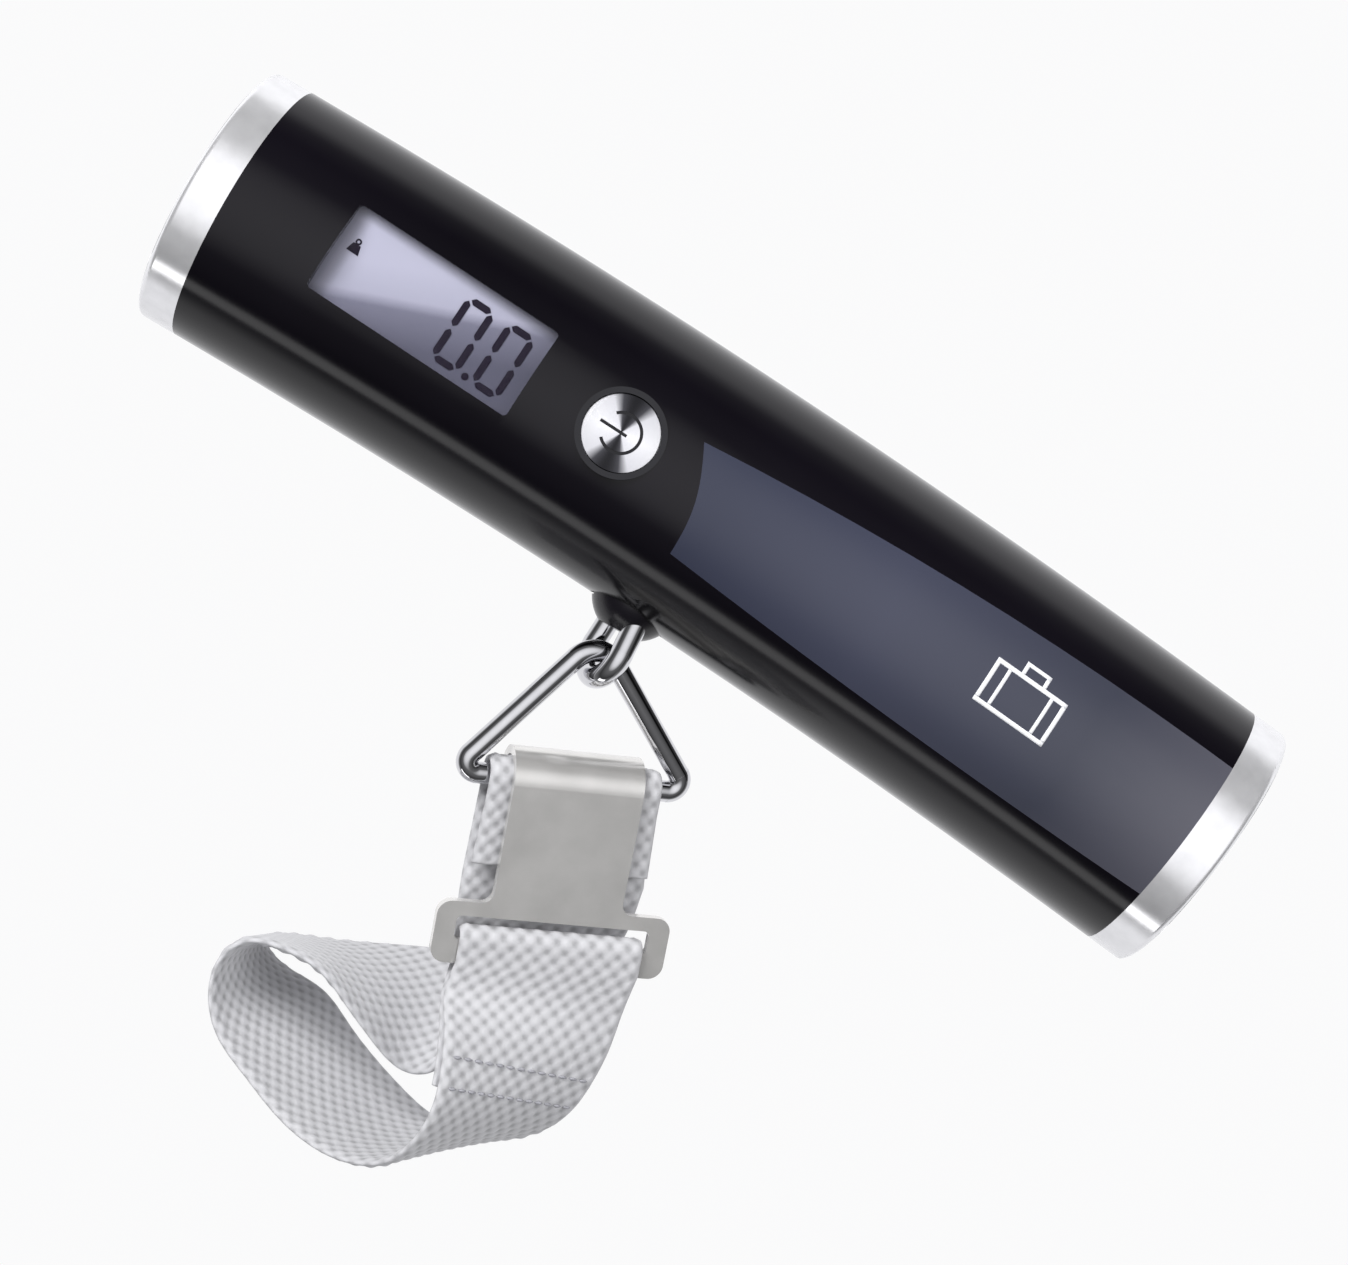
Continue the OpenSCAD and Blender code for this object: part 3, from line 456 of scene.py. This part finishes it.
# only the free loop is evened out: the folds and the wrap keep their radius
FOLD_KEEP, WRAP_KEEP, EASE, EVEN_REACH = 12, 38, 8, 2.5
free = np.minimum(run - front_run - FOLD_KEEP, run[-1] - WRAP_KEEP - run) / EASE
free = np.clip(free, 0, 1)[:, None]
rows = rows * (1 - free) + smooth(rows, EVEN_REACH) * free
centre, across = rows[:, :3], rows[:, 3:6] / np.linalg.norm(rows[:, 3:6], axis=1)[:, None]
normal = np.cross(np.gradient(centre, axis=0), across)
normal /= np.linalg.norm(normal, axis=1)[:, None]
half = rows[:, 6] / 2


def to_row(points):
    """From the strap frame in millimetres to the row frame in metres."""
    return (points @ HANG.T + BAR) * MM


def mesh_object(name, points, faces, look):
    """A smooth-shaded object of one material."""
    me = bpy.data.meshes.new(name)
    me.from_pydata([tuple(p) for p in points], [], faces)
    me.materials.append(look)
    me.polygons.foreach_set("use_smooth", [True] * len(me.polygons))
    me.update()
    o = bpy.data.objects.new(name, me)
    bpy.context.collection.objects.link(o)
    return o


def weave(s, t):
    """How far the plain weave rises at s along the strand and t across it, from -1 to 1."""
    return np.sin(math.pi * s / PITCH) * np.sin(math.pi * t / PITCH)


HALF_THICK, WEAVE_LIFT = 0.5, 0.12
EDGE_ROUND, EDGE_SHARE = 0.6, 0.72  # the edge thins to this share over this width
SELVEDGE_LIFT, SELVEDGE_AT, SELVEDGE_W = 0.07, 0.95, 0.03


def build_webbing():
    """The strand as one closed mesh: a woven front and back with rounded, bound edges."""
    n = int(WEB_W / STEP)
    t = np.linspace(-1, 1, n)
    # the section's outline: the front face, a rounded edge, the back face and the other edge
    side = np.r_[t, [1.02, 1.026, 1.02], t[::-1], [-1.02, -1.026, -1.02]]
    depth = np.r_[np.ones(n), [0.6, 0, -0.6], -np.ones(n), [-0.6, 0, 0.6]]
    faces_out = np.r_[np.ones(n), [0.2, 0, 0.2], np.ones(n), [0.2, 0, 0.2]]
    edge = np.clip((1 - np.abs(side)) * WEB_W / 2 / EDGE_ROUND, 0, 1)
    bulk = HALF_THICK * depth * (EDGE_SHARE + (1 - EDGE_SHARE) * edge)
    across_mm = side * WEB_W / 2
    out = np.sign(depth)[None, :]
    bumps = WEAVE_LIFT * weave(run[:, None], across_mm[None, :]) * faces_out[None, :] * out
    # a thicker bound edge runs down both sides
    selvedge = SELVEDGE_LIFT * np.exp(-((np.abs(side) - SELVEDGE_AT) / SELVEDGE_W) ** 2)[None, :] * out
    off = bulk[None, :] + bumps + selvedge
    pts = (centre[:, None, :] + across[:, None, :] * (side[None, :, None] * half[:, None, None])
           + normal[:, None, :] * off[:, :, None])
    rows_n, k = off.shape
    flat_pts = to_row(pts.reshape(-1, 3))
    i, j = np.meshgrid(np.arange(rows_n - 1), np.arange(k), indexing="ij")
    a, b = i * k + j, i * k + (j + 1) % k
    quads = np.stack([a, b, b + k, a + k], -1).reshape(-1, 4).tolist()
    quads.append(list(range(k))[::-1])
    quads.append([(rows_n - 1) * k + j for j in range(k)])
    o = mesh_object("webbing_loop", flat_pts, quads, webbing_grey)
    bm = bmesh.new()
    bm.from_mesh(o.data)
    bmesh.ops.recalc_face_normals(bm, faces=bm.faces)
    layer = bm.loops.layers.uv.new("weave")
    for f in bm.faces:
        for loop in f.loops:
            row, col = divmod(loop.vert.index, k)
            loop[layer].uv = (run[row] / UV_UNIT, across_mm[col] / UV_UNIT)
    bm.to_mesh(o.data)
    bm.free()
    return o


def at_run(s, across_mm, out):
    """A point on the strand: s along it, across it, and out from its middle along the normal."""
    def pick(v):
        return np.array([np.interp(s, run, v[:, j]) for j in range(3)])
    return pick(centre) + pick(across) * across_mm + pick(normal) * out


STITCH_ROWS, STITCH_PITCH, STITCH_LENGTH = (14.2, 18.2), 1.8, 1.24
STITCH_OUT = -0.62  # the display side's face of the strand
STITCH_TIP = 0.04  # the share of a stitch, at each end, that keeps its thinnest section


def stitch(below, mid):
    """One stitch across the strand: rings of points round a thread that thins towards its ends."""
    sides, rings = 8, 7
    at = front_run + below
    up = at_run(at, mid, STITCH_OUT - 1) - at_run(at, mid, STITCH_OUT)
    along = at_run(at + 0.5, mid, STITCH_OUT) - at_run(at - 0.5, mid, STITCH_OUT)
    along /= np.linalg.norm(along)
    pts, faces = [], []
    for r in range(rings):
        f = r / (rings - 1)
        bulge = math.sin(math.pi * min(max(f, STITCH_TIP), 1 - STITCH_TIP))
        c = at_run(at, mid + STITCH_LENGTH * (f - 0.5), STITCH_OUT - 0.08 * bulge)
        for q in range(sides):
            a = 2 * math.pi * q / sides
            pts.append(c + (0.08 + 0.17 * bulge) * (math.cos(a) * along + math.sin(a) * up))
    for r in range(rings - 1):
        for q in range(sides):
            a, b = r * sides + q, r * sides + (q + 1) % sides
            faces.append((a, b, b + sides, a + sides))
    faces.append(tuple(range(sides))[::-1])
    faces.append(tuple((rings - 1) * sides + q for q in range(sides)))
    return pts, faces


def build_stitches():
    """Two rows of stitches through the folded end, each a short raised thread."""
    pts, faces = [], []
    for below in STITCH_ROWS:
        for k in range(-6, 7):
            more_pts, more_faces = stitch(below, k * STITCH_PITCH)
            faces += [tuple(len(pts) + v for v in face) for face in more_faces]
            pts += more_pts
    return mesh_object("strap_stitching", to_row(np.array(pts)), faces, thread_grey)


webbing = build_webbing()
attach(webbing, "strap")
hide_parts("webbing_strap")
stitches = build_stitches()
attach(stitches, "strap")


# ---- a small printed suitcase on the grip panel

PRINT_GAP, PRINT_THICK = 0.03, 0.05
MARK_X, MARK_Z = 46.5, 0.6
BAR_CELL = (0.6, 0.3)


def tube_point(x, z):
    """On the tube's front surface, a hair outside it; z is measured from the arched middle line."""
    r = TUBE_R + PRINT_GAP
    return (x, -math.sqrt(r * r - z * z), z - x * x / (2 * ARCH_R))


def print_bars(name, bars, look):
    """Flat printed bars (x from, x to, z from, z to) about the mark's middle, laid on the tube."""
    pts, faces = [], []
    for x0, x1, z0, z1 in bars:
        nx, nz = max(1, int((x1 - x0) / BAR_CELL[0])), max(1, int((z1 - z0) / BAR_CELL[1]))
        start = len(pts)
        for i in range(nx + 1):
            for j in range(nz + 1):
                x, z = MARK_X + x0 + (x1 - x0) * i / nx, MARK_Z + z0 + (z1 - z0) * j / nz
                pts.append([c * MM for c in tube_point(x, z)])
        for i in range(nx):
            for j in range(nz):
                a = start + i * (nz + 1) + j
                faces.append((a, a + nz + 1, a + nz + 2, a + 1))
    o = mesh_object(name, pts, faces, look)
    thick = o.modifiers.new("thick", "SOLIDIFY")
    thick.thickness = PRINT_THICK * MM
    return o


CASE_OUTLINE = [(-5.4, 5.4, -3.6, -3.0), (-5.4, 5.4, 2.2, 2.8),
                (-5.4, -4.8, -3.0, 2.2), (4.8, 5.4, -3.0, 2.2)]
CASE_STRAPS = [(-3.5, -3.0, -3.0, 2.2), (3.0, 3.5, -3.0, 2.2)]
CASE_HANDLE = [(-1.9, -1.35, 2.8, 4.0), (1.35, 1.9, 2.8, 4.0), (-1.9, 1.9, 4.0, 4.5)]
mark = print_bars("suitcase_print", CASE_OUTLINE + CASE_STRAPS + CASE_HANDLE, print_white)
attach(mark, "handle")

# ---- floor, light and camera

# the floor and the backdrop share one pale tone, so that no horizon cuts the picture
PALE = (0.96, 0.96, 0.965)
pale = material("pale_floor", (0, 0, 0), 1.0, 0.0, 0.0)
pale.node_tree.nodes["Principled BSDF"].inputs["Emission Color"].default_value = (*PALE, 1)
pale.node_tree.nodes["Principled BSDF"].inputs["Emission Strength"].default_value = 1.0
FLOOR_HALF, FLOOR_Z = 9, -0.35  # metres
corners = [(x * FLOOR_HALF, y * FLOOR_HALF, FLOOR_Z) for x, y in ((-1, -1), (1, -1), (1, 1), (-1, 1))]
floor = mesh_object("floor", corners, [(0, 1, 2, 3)], pale)
floor.visible_glossy = False
floor.visible_diffuse = False

world = bpy.data.worlds.new("studio")
bpy.context.scene.world = world
world.use_nodes = True
W = world.node_tree
W.nodes.clear()


coord = W.nodes.new("ShaderNodeTexCoord")
parts = W.nodes.new("ShaderNodeSeparateXYZ")
W.links.new(coord.outputs["Generated"], parts.inputs[0])
span = W.nodes.new("ShaderNodeMapRange")
span.inputs["From Min"].default_value = -1
W.links.new(parts.outputs[1], span.inputs["Value"])
# from straight in front of the object to straight behind it: a bright patch, a dark band, a white wall
env = W.nodes.new("ShaderNodeValToRGB")
ENV_STOPS = [(0.0, 1.15), (0.06, 0.9), (0.15, 0.16), (0.35, 0.05), (0.5, 0.2), (0.62, 0.95), (1.0, 1.0)]
while len(env.color_ramp.elements) < len(ENV_STOPS):
    env.color_ramp.elements.new(0.5)
for e, (pos, v) in zip(env.color_ramp.elements, ENV_STOPS):
    e.position = pos
    e.color = (v, v, v * 1.02, 1)
W.links.new(span.outputs["Result"], env.inputs["Fac"])
seen = W.nodes.new("ShaderNodeLightPath")
mix = W.nodes.new("ShaderNodeMixRGB")
mix.inputs["Color2"].default_value = (*PALE, 1)
W.links.new(seen.outputs["Is Camera Ray"], mix.inputs["Fac"])
W.links.new(env.outputs["Color"], mix.inputs["Color1"])
shade = W.nodes.new("ShaderNodeBackground")
W.links.new(mix.outputs["Color"], shade.inputs["Color"])
out = W.nodes.new("ShaderNodeOutputWorld")
W.links.new(shade.outputs[0], out.inputs["Surface"])

EYE, TARGET = (4.6, -444.78, -30.98), (4.6, 0.0, -17.0)
LENS, SENSOR = 89.1, 36
forward = (Vector(TARGET) - Vector(EYE)).normalized()
right0 = forward.cross(Vector((0, 0, 1))).normalized()
up0 = right0.cross(forward)
roll = math.radians(ROLL)
right = right0 * math.cos(roll) + up0 * math.sin(roll)
up = -right0 * math.sin(roll) + up0 * math.cos(roll)
basis = Matrix((right, up, -forward)).transposed().to_4x4()

cam_data = bpy.data.cameras.new("view")
cam_data.lens = LENS
cam_data.sensor_width = SENSOR
cam_data.clip_start = 0.01
cam_data.clip_end = 50
cam = bpy.data.objects.new("view", cam_data)
bpy.context.collection.objects.link(cam)
cam.matrix_world = Matrix.Translation(Vector(EYE) * MM) @ basis
bpy.context.scene.camera = cam


def area(name, offset, size, power, glossy=True):
    """A soft light placed by the picture's own right, up and towards-the-viewer directions."""
    data = bpy.data.lights.new(name, "AREA")
    data.shape = "RECTANGLE"
    data.size, data.size_y = size
    data.energy = power
    o = bpy.data.objects.new(name, data)
    bpy.context.collection.objects.link(o)
    at = right * offset[0] + up * offset[1] - forward * offset[2]
    o.location = at
    o.rotation_euler = (-at).to_track_quat("-Z", "Y").to_euler()
    o.visible_glossy = glossy
    return o


# the two large lights are kept out of the gloss; the strip is there to be reflected along the tube
area("key", (-0.35, 0.55, 0.7), (0.5, 0.5), 10.5, glossy=False)
area("fill", (0.6, -0.1, 0.6), (0.7, 0.7), 3.5, glossy=False)
area("low_strip", (-0.42, -0.66, 0.12), (0.5, 0.12), 0.4)

bpy.context.scene.view_settings.view_transform = "Standard"
